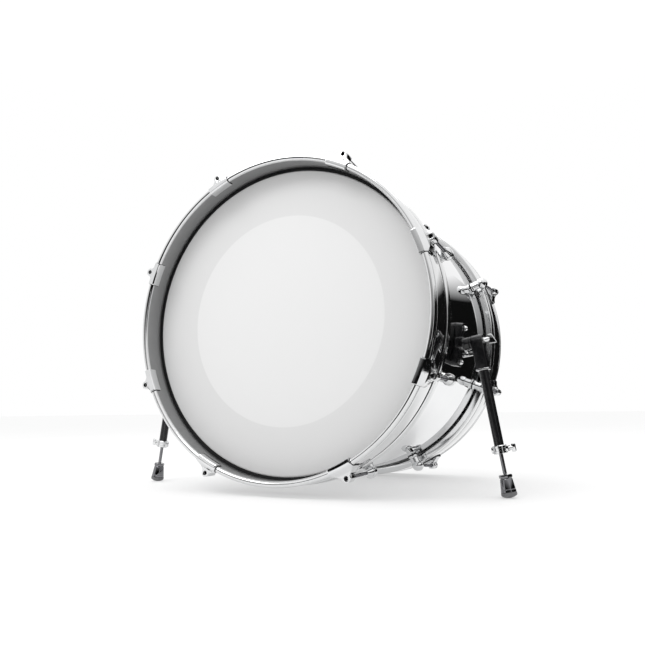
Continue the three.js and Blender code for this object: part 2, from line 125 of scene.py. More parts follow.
# Camera, in the front hoop's frame
CAMERA_YAW = 26.499
CAMERA_PITCH = 9.262
CAMERA_ROLL = 0.32
CAMERA_PLACE = (591.886, -994.274, -199.394)
CAMERA_LENS = 37.05
SENSOR_WIDTH = 36.0

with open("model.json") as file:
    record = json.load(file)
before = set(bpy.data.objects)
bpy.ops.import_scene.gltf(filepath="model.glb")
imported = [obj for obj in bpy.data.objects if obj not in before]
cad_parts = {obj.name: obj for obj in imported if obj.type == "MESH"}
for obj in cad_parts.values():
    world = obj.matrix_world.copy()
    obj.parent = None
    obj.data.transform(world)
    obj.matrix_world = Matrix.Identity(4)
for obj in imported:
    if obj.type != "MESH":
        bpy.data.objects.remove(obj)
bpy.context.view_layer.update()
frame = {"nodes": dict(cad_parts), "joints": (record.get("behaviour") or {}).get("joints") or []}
joints = {joint["name"]: joint for joint in frame["joints"]}


# --- frames ----------------------------------------------------------------------------------


def columns(x, y, z, origin):
    matrix = Matrix.Identity(4)
    for i, vector in enumerate((x, y, z, origin)):
        for row in range(3):
            matrix[row][i] = vector[row]
    return matrix


def rod_point(end, i):
    return Vector(joints[f"{end}_tension_rod_{i}_turn"]["pos_m"])


def drum_frame():
    corners = [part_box(f"{end}_hoop") for end in ENDS]
    low = Vector(min(c[0][k] for c in corners) for k in range(3))
    high = Vector(max(c[1][k] for c in corners) for k in range(3))
    means = [sum((rod_point(end, i) for i in STATIONS), Vector()) / len(STATIONS) for end in ENDS]
    along = (means[1] - means[0]).normalized()
    side = Vector((1, 0, 0))
    return columns(side, along, side.cross(along), (low + high) / 2)


DRUM = drum_frame()
BEAD_HALF_SPACING = -(DRUM.inverted() @ rod_point("front", 1)).y / MM + CLAW_FACE


def end_frame(end):
    sign = -1 if end == "front" else 1
    turn = Matrix.Identity(4) if end == "front" else Matrix.Rotation(math.pi, 4, "Z")
    return DRUM @ Matrix.Translation((0, sign * BEAD_HALF_SPACING * MM, 0)) @ turn


def station_frame(end, i):
    p = DRUM.inverted() @ rod_point(end, i)
    sign = -1 if end == "front" else 1
    turn = Matrix.Identity(4) if end == "front" else Matrix.Rotation(math.pi, 4, "Z")
    middle = Matrix.Translation((0, sign * BEAD_HALF_SPACING * MM, 0))
    return DRUM @ middle @ Matrix.Rotation(math.atan2(p.x, p.z), 4, "Y") @ turn


def leg_frame(side):
    x = Vector(joints[f"{side}_leg_fold"]["axis"])
    z = Vector(joints[f"{side}_leg_length"]["axis"])
    return columns(x, z.cross(x), z, Vector(joints[f"{side}_foot_turn"]["pos_m"]))


ROD_AXIS = Matrix.Translation((0, CLAW_FACE * MM, ROD_RADIUS_AT_CLAW * MM)) @ Matrix.Rotation(
    -math.pi / 2 - ROD_LEAN, 4, "X"
)


# --- meshes ----------------------------------------------------------------------------------


def arc(cx, cy, radius, a0, a1, steps):
    angles = [math.radians(a0 + (a1 - a0) * i / steps) for i in range(steps + 1)]
    return [(cx + radius * math.cos(a), cy + radius * math.sin(a)) for a in angles]


def closed_mesh(name, points, faces):
    mesh = bpy.data.meshes.new(name)
    mesh.from_pydata([[c * MM for c in p] for p in points], [], faces)
    bm = bmesh.new()
    bm.from_mesh(mesh)
    bmesh.ops.remove_doubles(bm, verts=bm.verts, dist=0.002 * MM)
    bmesh.ops.recalc_face_normals(bm, faces=bm.faces)
    bm.to_mesh(mesh)
    bm.free()
    return mesh


def grid_faces(rows, count, closed_rows):
    last = rows if closed_rows else rows - 1
    faces = []
    for i in range(last):
        a, b = i * count, ((i + 1) % rows) * count
        faces += [(a + j, a + (j + 1) % count, b + (j + 1) % count, b + j) for j in range(count)]
    return faces


def turned(name, outline, facets=48):
    """Round Y, from (radius, y) points: a loop, or a line that starts and ends on the axis."""
    turns = [2 * math.pi * k / facets for k in range(facets)]
    ring = [(math.sin(a), math.cos(a)) for a in turns]
    points = [(r * x, y, r * z) for r, y in outline for x, z in ring]
    return closed_mesh(name, points, grid_faces(len(outline), facets, outline[0][0] > 0))


def turned_up(name, outline, facets=48):
    """The same round Z, with y of the outline along Z."""
    mesh = turned(name, outline, facets)
    mesh.transform(Matrix.Rotation(math.pi / 2, 4, "X"))
    return mesh


def turned_across(name, outline, facets=48):
    """The same round X, with y of the outline along X."""
    mesh = turned(name, outline, facets)
    mesh.transform(Matrix.Rotation(-math.pi / 2, 4, "Z"))
    return mesh


def pillar(radius, bottom, top):
    """Outline of a plain cylinder, for the turned meshes."""
    return [(0, bottom), (radius, bottom), (radius, top), (0, top)]


def prism(name, outline, bottom, top):
    """A flat outline of (x, y) points made thick along Z."""
    n = len(outline)
    points = [(x, y, bottom) for x, y in outline] + [(x, y, top) for x, y in outline]
    sides = [(k, (k + 1) % n, n + (k + 1) % n, n + k) for k in range(n)]
    return closed_mesh(name, points, sides + [tuple(range(n)), tuple(range(n, 2 * n))])


def rounded_rectangle(half_x, half_y, radius, steps=6):
    return (
        arc(half_x - radius, half_y - radius, radius, 0, 90, steps)
        + arc(radius - half_x, half_y - radius, radius, 90, 180, steps)
        + arc(radius - half_x, radius - half_y, radius, 180, 270, steps)
        + arc(half_x - radius, radius - half_y, radius, 270, 360, steps)
    )


def temporary(mesh):
    obj = bpy.data.objects.new("temporary", mesh)
    bpy.context.scene.collection.objects.link(obj)
    return obj


def baked(obj, helpers=()):
    bpy.context.view_layer.update()
    evaluated = obj.evaluated_get(bpy.context.evaluated_depsgraph_get())
    mesh = bpy.data.meshes.new_from_object(evaluated)
    for old in (obj, *helpers):
        bpy.data.objects.remove(old)
    return mesh


def changed(mesh, operation, *tools):
    """mesh after a boolean with each tool in turn."""
    obj = temporary(mesh)
    helpers = [temporary(tool) for tool in tools]
    for helper in helpers:
        modifier = obj.modifiers.new(operation, "BOOLEAN")
        modifier.operation = operation
        modifier.solver = "EXACT"
        modifier.object = helper
    return baked(obj, helpers)


def bevelled(mesh, width, segments=3, angle=28):
    obj = temporary(mesh)
    modifier = obj.modifiers.new("bevel", "BEVEL")
    modifier.width = width * MM
    modifier.segments = segments
    modifier.limit_method = "ANGLE"
    modifier.angle_limit = math.radians(angle)
    modifier.use_clamp_overlap = True
    return baked(obj)


def moved(mesh, matrix):
    mesh.transform(matrix)
    return mesh


def joined(name, *meshes):
    bm = bmesh.new()
    for mesh in meshes:
        bm.from_mesh(mesh)
    whole = bpy.data.meshes.new(name)
    bm.to_mesh(whole)
    bm.free()
    return whole


def smooth(mesh, angle=32):
    mesh.polygons.foreach_set("use_smooth", [True] * len(mesh.polygons))
    mesh.set_sharp_from_angle(angle=math.radians(angle))
    return mesh


def at(x=0.0, y=0.0, z=0.0):
    return Matrix.Translation((x * MM, y * MM, z * MM))


# --- materials -------------------------------------------------------------------------------


def set_range(node, from_low, from_high, low, high):
    numbers = {"From Min": from_low, "From Max": from_high, "To Min": low, "To Max": high}
    for key, number in numbers.items():
        node.inputs[key].default_value = number


class Surface:
    """A Principled surface whose detail is added a layer at a time."""

    def __init__(self, name, colour, metallic, roughness, specular=0.5):
        self.material = bpy.data.materials.new(name)
        self.material.use_nodes = True
        self.nodes = self.material.node_tree.nodes
        self.links = self.material.node_tree.links
        self.shader = self.nodes["Principled BSDF"]
        self.shader.inputs["Base Color"].default_value = (*colour, 1)
        self.shader.inputs["Metallic"].default_value = metallic
        self.shader.inputs["Roughness"].default_value = roughness
        self.shader.inputs["Specular IOR Level"].default_value = specular
        self.place = self.nodes.new("ShaderNodeTexCoord").outputs["Object"]

    def new(self, kind, **settings):
        node = self.nodes.new(kind)
        for key, value in settings.items():
            setattr(node, key, value)
        return node

    def maths(self, operation, a, b=None):
        node = self.new("ShaderNodeMath", operation=operation)
        for socket, value in zip(node.inputs, (a, b)):
            if value is None:
                continue
            if isinstance(value, (int, float)):
                socket.default_value = value
            else:
                self.links.new(value, socket)
        return node.outputs[0]

    def noise(self, scale, detail=4.0, place=None):
        node = self.new("ShaderNodeTexNoise")
        node.inputs["Scale"].default_value = scale
        node.inputs["Detail"].default_value = detail
        node.inputs["Roughness"].default_value = 0.5
        self.links.new(place or self.place, node.inputs["Vector"])
        return node.outputs["Fac"]

    def spread(self, value, low, high, from_low=0.3, from_high=0.7):
        node = self.new("ShaderNodeMapRange")
        self.links.new(value, node.inputs["Value"])
        set_range(node, from_low, from_high, low, high)
        return node.outputs["Result"]

    def roughened(self, value):
        self.links.new(value, self.shader.inputs["Roughness"])

    def coloured(self, factor, first, second):
        node = self.new("ShaderNodeMix", data_type="RGBA")
        self.links.new(factor, node.inputs["Factor"])
        node.inputs["A"].default_value = (*first, 1)
        node.inputs["B"].default_value = (*second, 1)
        self.links.new(node.outputs["Result"], self.shader.inputs["Base Color"])

    def bumped(self, height, distance):
        node = self.new("ShaderNodeBump")
        node.inputs["Strength"].default_value = 1.0
        node.inputs["Distance"].default_value = distance * MM
        self.links.new(height, node.inputs["Height"])
        self.links.new(node.outputs["Normal"], self.shader.inputs["Normal"])
        return self

    def radius(self):
        """Distance from the object's Y axis and place along it, in metres."""
        parts = self.new("ShaderNodeSeparateXYZ")
        self.links.new(self.place, parts.inputs[0])
        squares = [self.maths("MULTIPLY", parts.outputs[k], parts.outputs[k]) for k in ("X", "Z")]
        return self.maths("SQRT", self.maths("ADD", *squares)), parts.outputs["Y"]

    def spun(self, scale):
        """Fine rings round the object's Y axis, as polishing on a lathe leaves."""
        radius, along = self.radius()
        place = self.new("ShaderNodeCombineXYZ")
        self.links.new(radius, place.inputs["X"])
        self.links.new(along, place.inputs["Y"])
        return self.noise(scale, 3.0, place.outputs[0])


def chrome(name, colour, rough=(0.03, 0.10)):
    surface = Surface(name, colour, 1.0, rough[0])
    surface.roughened(surface.spread(surface.noise(180.0), *rough))
    tint = tuple(c * 0.94 for c in colour)
    surface.coloured(surface.spread(surface.noise(60.0), 0.0, 1.0), colour, tint)
    return surface.bumped(surface.noise(900.0, 2.0), 0.004).material


def hoop_metal(name, grey, rough):
    colour = (grey, grey * 1.005, grey * 1.01)
    surface = Surface(name, colour, 1.0, rough[0])
    surface.roughened(surface.spread(surface.spun(900.0), *rough))
    duller = tuple(c * 0.94 for c in colour)
    surface.coloured(surface.spread(surface.noise(25.0), 0.0, 1.0), colour, duller)
    return surface.bumped(surface.spun(1600.0), 0.003).material


def shell_wrap():
    colour = (0.83, 0.835, 0.84)
    surface = Surface("shell_wrap", colour, 1.0, 0.04)
    surface.roughened(surface.spread(surface.noise(14.0), 0.02, 0.05))
    surface.coloured(surface.spread(surface.noise(6.0), 0.0, 1.0), colour, (0.80, 0.805, 0.815))
    return surface.bumped(surface.noise(9.0, 2.0), 0.05).material


def coated_film(name="coated_film", ring=True):
    centre, outside = (0.70, 0.70, 0.70), (0.64, 0.64, 0.64)
    surface = Surface(name, centre, 0.0, 0.42, 0.3)
    surface.roughened(surface.spread(surface.noise(700.0), 0.36, 0.50))
    if ring:
        edge = OVERTONE_RING_INNER * MM
        radius, _ = surface.radius()
        beyond = surface.spread(radius, 0.0, 1.0, edge - 0.001, edge + 0.001)
        surface.coloured(beyond, centre, outside)
    else:
        surface.coloured(surface.spread(surface.noise(30.0), 0.0, 1.0), centre, (0.68, 0.68, 0.68))
    return surface.bumped(surface.noise(2200.0, 3.0), 0.02).material


def enamel():
    colour = (0.004, 0.004, 0.0045)
    surface = Surface("black_enamel", colour, 0.0, 0.2, 0.5)
    surface.roughened(surface.spread(surface.noise(260.0), 0.14, 0.26))
    surface.coloured(surface.spread(surface.noise(90.0), 0.0, 1.0), colour, (0.008, 0.008, 0.009))
    return surface.bumped(surface.noise(700.0, 2.0), 0.01).material


def rubber(name, colour, roughness=0.6):
    surface = Surface(name, colour, 0.0, roughness, 0.3)
    surface.roughened(surface.spread(surface.noise(400.0), roughness - 0.1, roughness + 0.12))
    darker = tuple(c * 0.8 for c in colour)
    surface.coloured(surface.spread(surface.noise(120.0), 0.0, 1.0), colour, darker)
    return surface.bumped(surface.noise(1500.0, 3.0), 0.02).material


def shell_ply():
    surface = Surface("shell_ply", (0.42, 0.27, 0.15), 0.0, 0.45, 0.4)
    stretch = surface.new("ShaderNodeMapping")
    stretch.inputs["Scale"].default_value = (1.0, 14.0, 1.0)
    surface.links.new(surface.place, stretch.inputs["Vector"])
    grain = surface.noise(22.0, 6.0, stretch.outputs[0])
    surface.coloured(surface.spread(grain, 0.0, 1.0), (0.50, 0.33, 0.19), (0.34, 0.20, 0.10))
    surface.roughened(surface.spread(grain, 0.38, 0.55))
    return surface.bumped(grain, 0.05).material


CHROME = chrome("chrome_plate", (0.74, 0.745, 0.75))
DARK_CHROME = chrome("chrome_plate_dark", (0.20, 0.20, 0.21), (0.06, 0.14))
# near-black steel laid in the claws' key holes and the hoops' grooves: painted shade in these
# recesses
HOLE_AND_GROOVE_SHADE = chrome("hole_and_groove_painted_shade", (0.012, 0.012, 0.013), (0.35, 0.5))
HOOP_METAL = hoop_metal("hoop_metal", 0.74, (0.05, 0.11))
# darker copy of the hoop metal for the inside wall of the hoop: painted shade
HOOP_WALL_SHADE = hoop_metal("hoop_wall_painted_shade", 0.34, (0.18, 0.28))
FLESH_HOOP = hoop_metal("flesh_hoop_metal", 0.5, (0.3, 0.42))
SHELL_WRAP = shell_wrap()
FILM_FRONT = coated_film()
FILM_REAR = coated_film("coated_film_rear", ring=False)
ENAMEL = enamel()
GASKET_RUBBER = rubber("gasket_rubber", (0.012, 0.012, 0.013))
SOLE_RUBBER = rubber("sole_rubber", (0.16, 0.16, 0.165), 0.5)
SHELL_PLY = shell_ply()


# --- pieces ----------------------------------------------------------------------------------


def piece(name, mesh, matrix, material, body, slot, *stands_for):
    obj = bpy.data.objects.new(name, mesh)
    bpy.context.scene.collection.objects.link(obj)
    obj.matrix_world = matrix
    if not mesh.materials:
        mesh.materials.append(material)
    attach(obj, body)
    if stands_for:
        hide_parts(*stands_for)


def hoop_outline():
    """Sheet metal section as (radius, distance behind the bead's middle)."""
    band = BAND_RADIUS
    rear = REAR_BEAD_RADIUS
    return (
        [(HOOP_INNER, LEDGE - 0.6)]
        + arc(BEAD_RING_RADIUS, 0, BEAD_RADIUS, 180, 382, 26)
        + arc(GROOVE_RADIUS + 3.3, 5.6, 3.3, 218, 180, 3)
        + arc(GROOVE_RADIUS + 1.5, 8.6, 1.5, 180, 90, 3)
        + arc(band - 1.0, 11.1, 1.0, 270, 360, 4)
        + arc(band - 1.0, 54.0, 1.0, 0, 90, 4)
        + arc(GROOVE_RADIUS + 1.0, 56.2, 1.0, 270, 180, 3)
        + arc(GROOVE_RADIUS + 1.0, 65.6, 1.0, 180, 90, 3)
        + arc(rear - 3.2, 69.8, 3.2, 270, 360, 6)
        + arc(rear - 2.6, HOOP_WIDTH - 2.6, 2.6, 0, 90, 6)
        + [(SKIRT_INNER + 0.8, HOOP_WIDTH), (SKIRT_INNER, HOOP_WIDTH - 0.8)]
        + [(SKIRT_INNER, CHANNEL_END)]
        + [(CHANNEL_RADIUS, CHANNEL_END), (CHANNEL_RADIUS, LEDGE), (HOOP_INNER + 0.6, LEDGE)]
    )


def head_outline():
    inside = FILM_RADIUS - FILM
    back = FILM_FACE + FILM
    return (
        [(0, FILM_FACE)]
        + arc(FILM_RADIUS - 3.4, FILM_FACE + 3.4, 3.4, 270, 360, 8)
        + [(FILM_RADIUS, COLLAR_END), (inside, COLLAR_END)]
        + arc(inside - 2.6, back + 2.6, 2.6, 360, 270, 6)
        + [(0, back)]
    )


def shell_pieces():
    wall = SHELL_RADIUS - 0.6
    wrap = [
        (SHELL_RADIUS, SHELL_HALF - 9),
        (SHELL_RADIUS, 9 - SHELL_HALF),
        (wall, 9 - SHELL_HALF),
        (wall, SHELL_HALF - 9),
    ]
    crest = SHELL_RADIUS - 3
    ply = (
        [(wall - 0.02, 3 - SHELL_HALF), (wall - 0.02, SHELL_HALF - 3)]
        + arc(crest - 0.6, SHELL_HALF - 1.4, 1.4, 60, 120, 4)
        + [(SHELL_INNER, SHELL_HALF - 4), (SHELL_INNER, 4 - SHELL_HALF)]
        + arc(crest - 0.6, 1.4 - SHELL_HALF, 1.4, 240, 300, 4)
    )
    wrap_mesh = smooth(turned("shell_wrap", wrap, FACETS))
    ply_mesh = smooth(turned("shell_plies", ply, FACETS))
    piece("shell_wrap", wrap_mesh, DRUM, SHELL_WRAP, "drum", "shell_wrap", "shell")
    piece("shell_plies", ply_mesh, DRUM, SHELL_PLY, "drum", "shell_wrap")


def slit_shade_mesh():
    """Black ring in the slit between the film's edge and the inside of the hoop: a painted shadow,
    a dark piece filling a slit that only holds shade.
    """
    inner, outer = FILM_RADIUS + 0.4, HOOP_INNER - 0.2
    top, bottom = FILM_FACE + 2.2, LEDGE - 0.1
    outline = [(inner, top + 0.8), (inner + 0.8, top)]
    outline += [(outer, top), (outer, bottom), (inner, bottom)]
    return smooth(turned("head_slit_shade", outline, FACETS))


def repainted(node, material):
    materials = frame["nodes"][node].data.materials
    materials.clear()
    materials.append(material)


def hoops_and_heads():
    hoop = smooth(turned("hoop", hoop_outline(), FACETS))
    hoop.materials.append(HOOP_METAL)
    hoop.materials.append(HOOP_WALL_SHADE)
    hoop.materials.append(HOLE_AND_GROOVE_SHADE)
    for face in hoop.polygons:
        radius, depth = math.hypot(face.center.x, face.center.z) / MM, face.center.y / MM
        if radius < HOOP_INNER + 0.5 and depth > 0:
            # inside wall of the hoop: the darker copy of the hoop metal, painted shade
            face.material_index = 1
        elif HOOP_INNER + 5 < radius < GROOVE_RADIUS + 1.2 and 3 < depth < HOOP_WIDTH - 15:
            # faces in the grooves take near-black steel: painted shadow lines
            face.material_index = 2
    slit_shade = slit_shade_mesh()
    for end, film in zip(ENDS, (FILM_FRONT, FILM_REAR)):
        place = end_frame(end)
        piece(f"{end}_hoop_section", hoop, place, HOOP_METAL, "drum", "hoop_metal", f"{end}_hoop")
        head = smooth(turned(f"{end}_head", head_outline(), FACETS))
        piece(f"{end}_head_film", head, place, film, "drum", "coated_film", f"{end}_head")
        # black ring in the slit between film and hoop: painted shadow, made of the gasket rubber
        piece(f"{end}_head_slit_shade", slit_shade, place, GASKET_RUBBER, "drum", "foot_rubber")
        repainted(f"{end}_flesh_hoop", FLESH_HOOP)
    repainted("overtone_ring", FILM_REAR)


def claw_top(x):
    """Height of the claw's outline at x: concave flanks drawn in to a round boss."""
    x = abs(x)
    if x < BOSS_RADIUS:
        return ROD_RADIUS_AT_CLAW + math.sqrt(BOSS_RADIUS**2 - x**2)
    share = min(1.0, (CLAW_HALF_WIDTH - x) / (CLAW_HALF_WIDTH - BOSS_RADIUS))
    return CLAW_SHOULDER + (ROD_RADIUS_AT_CLAW - CLAW_SHOULDER) * 2 / math.pi * math.asin(share)


def claw_section(x):
    """The claw cut across at x, as (distance behind the bead, radius)."""
    top = claw_top(x)
    clear = BEAD_RADIUS + GASKET + 0.1
    body_top = min(CLAW_BODY_TOP, top)
    slope_foot = 292.8
    if top > BOSS_FOOT:
        face = [(CLAW_FACE, top), (CLAW_FACE, BOSS_FOOT)]
    else:
        share = (top - slope_foot) / (BOSS_FOOT - slope_foot)
        cut = (CLAW_FRONT + (CLAW_FACE - CLAW_FRONT) * share, top)
        face = [cut, cut]
    hook = arc(0, BEAD_RING_RADIUS, clear, 270, 90, 14)
    return (
        [(9, LIP_BOTTOM), (9, BEAD_RING_RADIUS - clear)]
        + hook
        + [(CLAW_BACK, BEAD_RING_RADIUS + clear), (CLAW_BACK, body_top)]
        + [(5.8, body_top), (5.8, top)]
        + face
        + [(CLAW_FRONT, slope_foot), (CLAW_FRONT, LIP_BOTTOM + 2), (CLAW_FRONT + 2, LIP_BOTTOM)]
    )


def along_hoop(name, stations, section):
    """Sections at x along the hoop, bent to its curve and closed at both ends."""
    points = []
    for x in stations:
        bend = x / (ROD_RADIUS_AT_CLAW - 18 * abs(x) / CLAW_HALF_WIDTH)
        points += [(r * math.sin(bend), s, r * math.cos(bend)) for s, r in section(x)]
    rows, count = len(stations), len(section(0))
    faces = grid_faces(rows, count, False)
    faces += [tuple(range(count)), tuple(range((rows - 1) * count, rows * count))]
    return closed_mesh(name, points, faces)


def claw_mesh():
    right = [1.8, 3.6, 5.2, 6.4, 7.0, 7.3, 7.9, 8.8, 10.2, 12.2, 14.6, 17.2, 19.6, CLAW_HALF_WIDTH]
    stations = [-x for x in reversed(right)] + [0] + right
    body = along_hoop("claw", stations, claw_section)
    hole = turned_up("hole", pillar(KEY_HOLE_RADIUS, -4, 13), 32)
    passage = turned_up("passage", pillar(3.5, 12, 30), 32)
    tools = [moved(hole, ROD_AXIS), moved(passage, ROD_AXIS)]
    body = changed(body, "DIFFERENCE", *tools)
    back = CLAW_BACK - CLAW_FACE
    barrel = [(3.5, 4), (7.9, 4), (7.9, back - 1.2), (6.9, back), (3.5, back)]
    barrel = moved(turned_up("barrel", barrel, 6), ROD_AXIS)
    claw = smooth(joined("claw", bevelled(body, 0.45, 2, 35), bevelled(barrel, 0.5, 2)))
    claw.materials.append(CHROME)
    claw.materials.append(HOLE_AND_GROOVE_SHADE)
    # faces deep in the key hole take near-black steel: painted shade in the hole
    off_axis = ROD_AXIS.inverted()
    for face in claw.polygons:
        place = off_axis @ face.center
        in_hole = math.hypot(place.x, place.y) < (KEY_HOLE_RADIUS + 0.1) * MM
        face.material_index = int(in_hole and place.z > 0.3 * MM)
    return claw


def gasket_section(_):
    inner, outer = BEAD_RADIUS + 0.05, BEAD_RADIUS + GASKET
    near = arc(0, BEAD_RING_RADIUS, inner, 270, 90, 14)
    far = arc(0, BEAD_RING_RADIUS, outer, 90, 270, 14)
    back = CLAW_BACK + 0.6
    return (
        [(9.6, BEAD_RING_RADIUS - inner)]
        + near
        + [(back, BEAD_RING_RADIUS + inner), (back, BEAD_RING_RADIUS + outer)]
        + far
        + [(9.6, BEAD_RING_RADIUS - outer)]
    )


def gasket_mesh():
    half = CLAW_HALF_WIDTH + 0.7
    stations = [half * k / 6 for k in range(-6, 7)]
    return smooth(along_hoop("claw_gasket", stations, gasket_section))


def thread(name, start, end, around=14, per_turn=6):
    """A screw thread round Z, closed by its two end faces."""
    rows = int((end - start) / THREAD_PITCH * per_turn) + 1
    points = []
    for row in range(rows):
        z = start + row * THREAD_PITCH / per_turn
        for k in range(around):
            turn = (row / per_turn + k / around) % 1.0
            depth = THREAD_DEPTH * abs(2 * turn - 1)
            a = 2 * math.pi * k / around
            radius = THREAD_RADIUS - depth
            points.append((radius * math.cos(a), radius * math.sin(a), z))
    faces = grid_faces(rows, around, False)
    faces += [tuple(range(around)), tuple(range((rows - 1) * around, rows * around))]
    return closed_mesh(name, points, faces)


def rod_mesh():
    flange = [(0, 9.9), (3.6, 9.9), (3.6, 11.4), (THREAD_RADIUS - 0.4, 12), (0, 12)]
    flange = turned_up("flange", flange, 28)
    square = bevelled(prism("square", rounded_rectangle(2.5, 2.5, 0.5, 3), 6.3, 10.4), 0.3, 2)
    whole = joined("tension_rod", thread("thread", 11.8, 111), flange, square)
    return smooth(moved(whole, ROD_AXIS), 40)


def lug_mesh():
    nose = (
        [(3.3, LUG_NOSE), (5.0, LUG_NOSE)]
        + arc(4.8, LUG_NOSE + 0.9, 0.9, 280, 350, 3)
        + [(8.6, 101.6), (9.0, 102.6), (8.4, 103.1), (8.4, 103.9)]
        + arc(9.6, 105.3, 1.3, 250, 360, 5)
        + arc(0, LUG_BALL_AT, LUG_BALL_RADIUS, -20, 90, 16)
        + [(0, LUG_BALL_AT + 4), (3.3, LUG_BALL_AT + 3.9)]
    )
    body = moved(turned_up("nose", nose, 40), ROD_AXIS)
    height = ROD_RADIUS_AT_CLAW - LUG_BALL_AT * math.sin(ROD_LEAN)
    foot = (
        [(0, SHELL_RADIUS + 0.9)]
        + [(9.4, SHELL_RADIUS + 0.9), (9.8, SHELL_RADIUS + 1.5), (9.8, SHELL_RADIUS + 3.2)]
        + arc(12.6, SHELL_RADIUS + 6.4, 4.2, 230, 180, 5)
        + [(8.4, height - 5), (0, height - 5)]
    )
    foot = moved(turned_up("foot", foot, 40), at(0, CLAW_FACE + LUG_BALL_AT, 0))
    return smooth(joined("lug", body, foot))


def lug_gasket_mesh():
    ring = pillar(10.1, SHELL_RADIUS - 0.6, SHELL_RADIUS + 0.85)
    return smooth(moved(turned_up("lug_gasket", ring, 40), at(0, CLAW_FACE + LUG_BALL_AT, 0)))


def lug_screw_mesh():
    """Washer and pan head of the screw that holds a lug, inside the shell."""
    head = (
        [(0, SHELL_INNER - 4.6), (2.6, SHELL_INNER - 4.4)]
        + [(4.4, SHELL_INNER - 3.4), (4.8, SHELL_INNER - 1.4)]
        + [(8.2, SHELL_INNER - 1.4), (8.2, SHELL_INNER - 0.1), (0, SHELL_INNER - 0.1)]
    )
    return smooth(moved(turned_up("lug_screw", head, 32), at(0, CLAW_FACE + LUG_BALL_AT, 0)))


def station_pieces():
    claw, gasket, rod = claw_mesh(), gasket_mesh(), rod_mesh()
    lug, lug_gasket, lug_screw = lug_mesh(), lug_gasket_mesh(), lug_screw_mesh()
    for end in ENDS:
        for i in STATIONS:
            place = station_frame(end, i)
            rod_node = f"{end}_tension_rod_{i}"
            claw_node = f"{end}_claw_{i}"
            piece(f"{end}_hook_{i}", claw, place, CHROME, "drum", "chrome", claw_node)
            piece(f"{end}_hook_gasket_{i}", gasket, place, GASKET_RUBBER, "drum", "foot_rubber")
            piece(f"{end}_threaded_rod_{i}", rod, place, DARK_CHROME, rod_node, "chrome", rod_node)
            piece(f"{end}_lug_{i}", lug, place, CHROME, "drum", "chrome")
            piece(f"{end}_lug_gasket_{i}", lug_gasket, place, GASKET_RUBBER, "drum", "foot_rubber")
            piece(f"{end}_lug_screw_{i}", lug_screw, place, CHROME, "drum", "chrome")


# --- spurs -----------------------------------------------------------------------------------


def sided(mesh, side):
    """The mesh for one side: as made on the right, and its mirror image on the left."""
    if side == "right":
        return mesh
    other = mesh.copy()
    other.transform(Matrix.Scale(-1, 4, (1, 0, 0)))
    other.flip_normals()
    return other


def bracket_plate():
    place = Matrix.Rotation(math.radians(PLATE_ANGLE), 4, "Y")
    outline = rounded_rectangle(PLATE_HALF_LENGTH, PLATE_HALF_WIDTH, 7)
    plate = prism("plate", outline, SHELL_RADIUS - 15, PLATE_TOP)
    ring = SHELL_RADIUS + 0.3
    room = turned("room", pillar(ring, -90, 90), FACETS)
    rib = rounded_rectangle(PLATE_HALF_LENGTH - 4, 6, 4)
    rib = prism("rib", rib, SHELL_RADIUS, PLATE_TOP + 1.0)
    body = changed(moved(plate, place), "DIFFERENCE", room)
    return [bevelled(body, 1.6, 4), bevelled(moved(rib, place), 0.9, 3)]


def bracket_mesh():
    leg = DRUM.inverted() @ leg_frame("right")
    middle = (PLATE_SETBACK - BEAD_HALF_SPACING) * MM
    plate = [moved(mesh, Matrix.Translation((0, middle, 0))) for mesh in bracket_plate()]
    pivot = leg @ Vector((0, 0, PIVOT_HEIGHT * MM))
    reach = (middle - pivot.y) / MM + PLATE_HALF_WIDTH / 2
    arm = rounded_rectangle((ARM_OUTER - ARM_INNER) / 2, ARM_HALF_HEIGHT, 4)
    arm = prism("arm", arm, -2, reach)
    arm_place = Matrix.Translation(((ARM_OUTER + ARM_INNER) / 2 * MM, pivot.y, pivot.z))
    arm = moved(arm, arm_place @ Matrix.Rotation(-math.pi / 2, 4, "X"))
    inner = -HOLDER_WIDTH / 2 - SPUR_GAP
    hole_end = -BOLT_DEPTH - SPUR_GAP
    boss = (
        [(0, inner - BOSS_LENGTH), (PIVOT_BOSS_RADIUS - 2.5, inner - BOSS_LENGTH)]
        + arc(PIVOT_BOSS_RADIUS - 2.5, inner - BOSS_LENGTH + 2.5, 2.5, 270, 360, 5)
        + arc(PIVOT_BOSS_RADIUS - 1.0, inner - 5.2, 1.0, 0, 90, 3)
        + [(PIVOT_BOSS_RADIUS - 1.6, inner - 4.0), (PIVOT_BOSS_RADIUS - 1.6, inner - 3.4)]
        + arc(PIVOT_BOSS_RADIUS - 0.8, inner - 2.6, 0.8, 270, 360, 3)
        + arc(PIVOT_BOSS_RADIUS - 0.8, inner - 0.8, 0.8, 0, 90, 3)
        + [(BOLT_HOLE_RADIUS, inner), (BOLT_HOLE_RADIUS, hole_end), (0, hole_end)]
    )
    boss = moved(turned_across("boss", boss, 56), leg @ at(z=PIVOT_HEIGHT))
    return smooth(joined("spur_bracket", *plate, bevelled(arm, 1.5, 3), boss), 35)


def bracket_screw_mesh():
    """Domed screw head with a square socket, standing on a thin washer."""
    head = (
        [(0, 0), (5.4, 0), (5.4, 0.8), (4.3, 0.9)]
        + arc(0, 0.9, 4.3, 8, 62, 6)
        + [(1.5, 4.4), (1.5, 3.2), (0, 3.2)]
    )
    return smooth(turned_up("bracket_screw", head, 36))


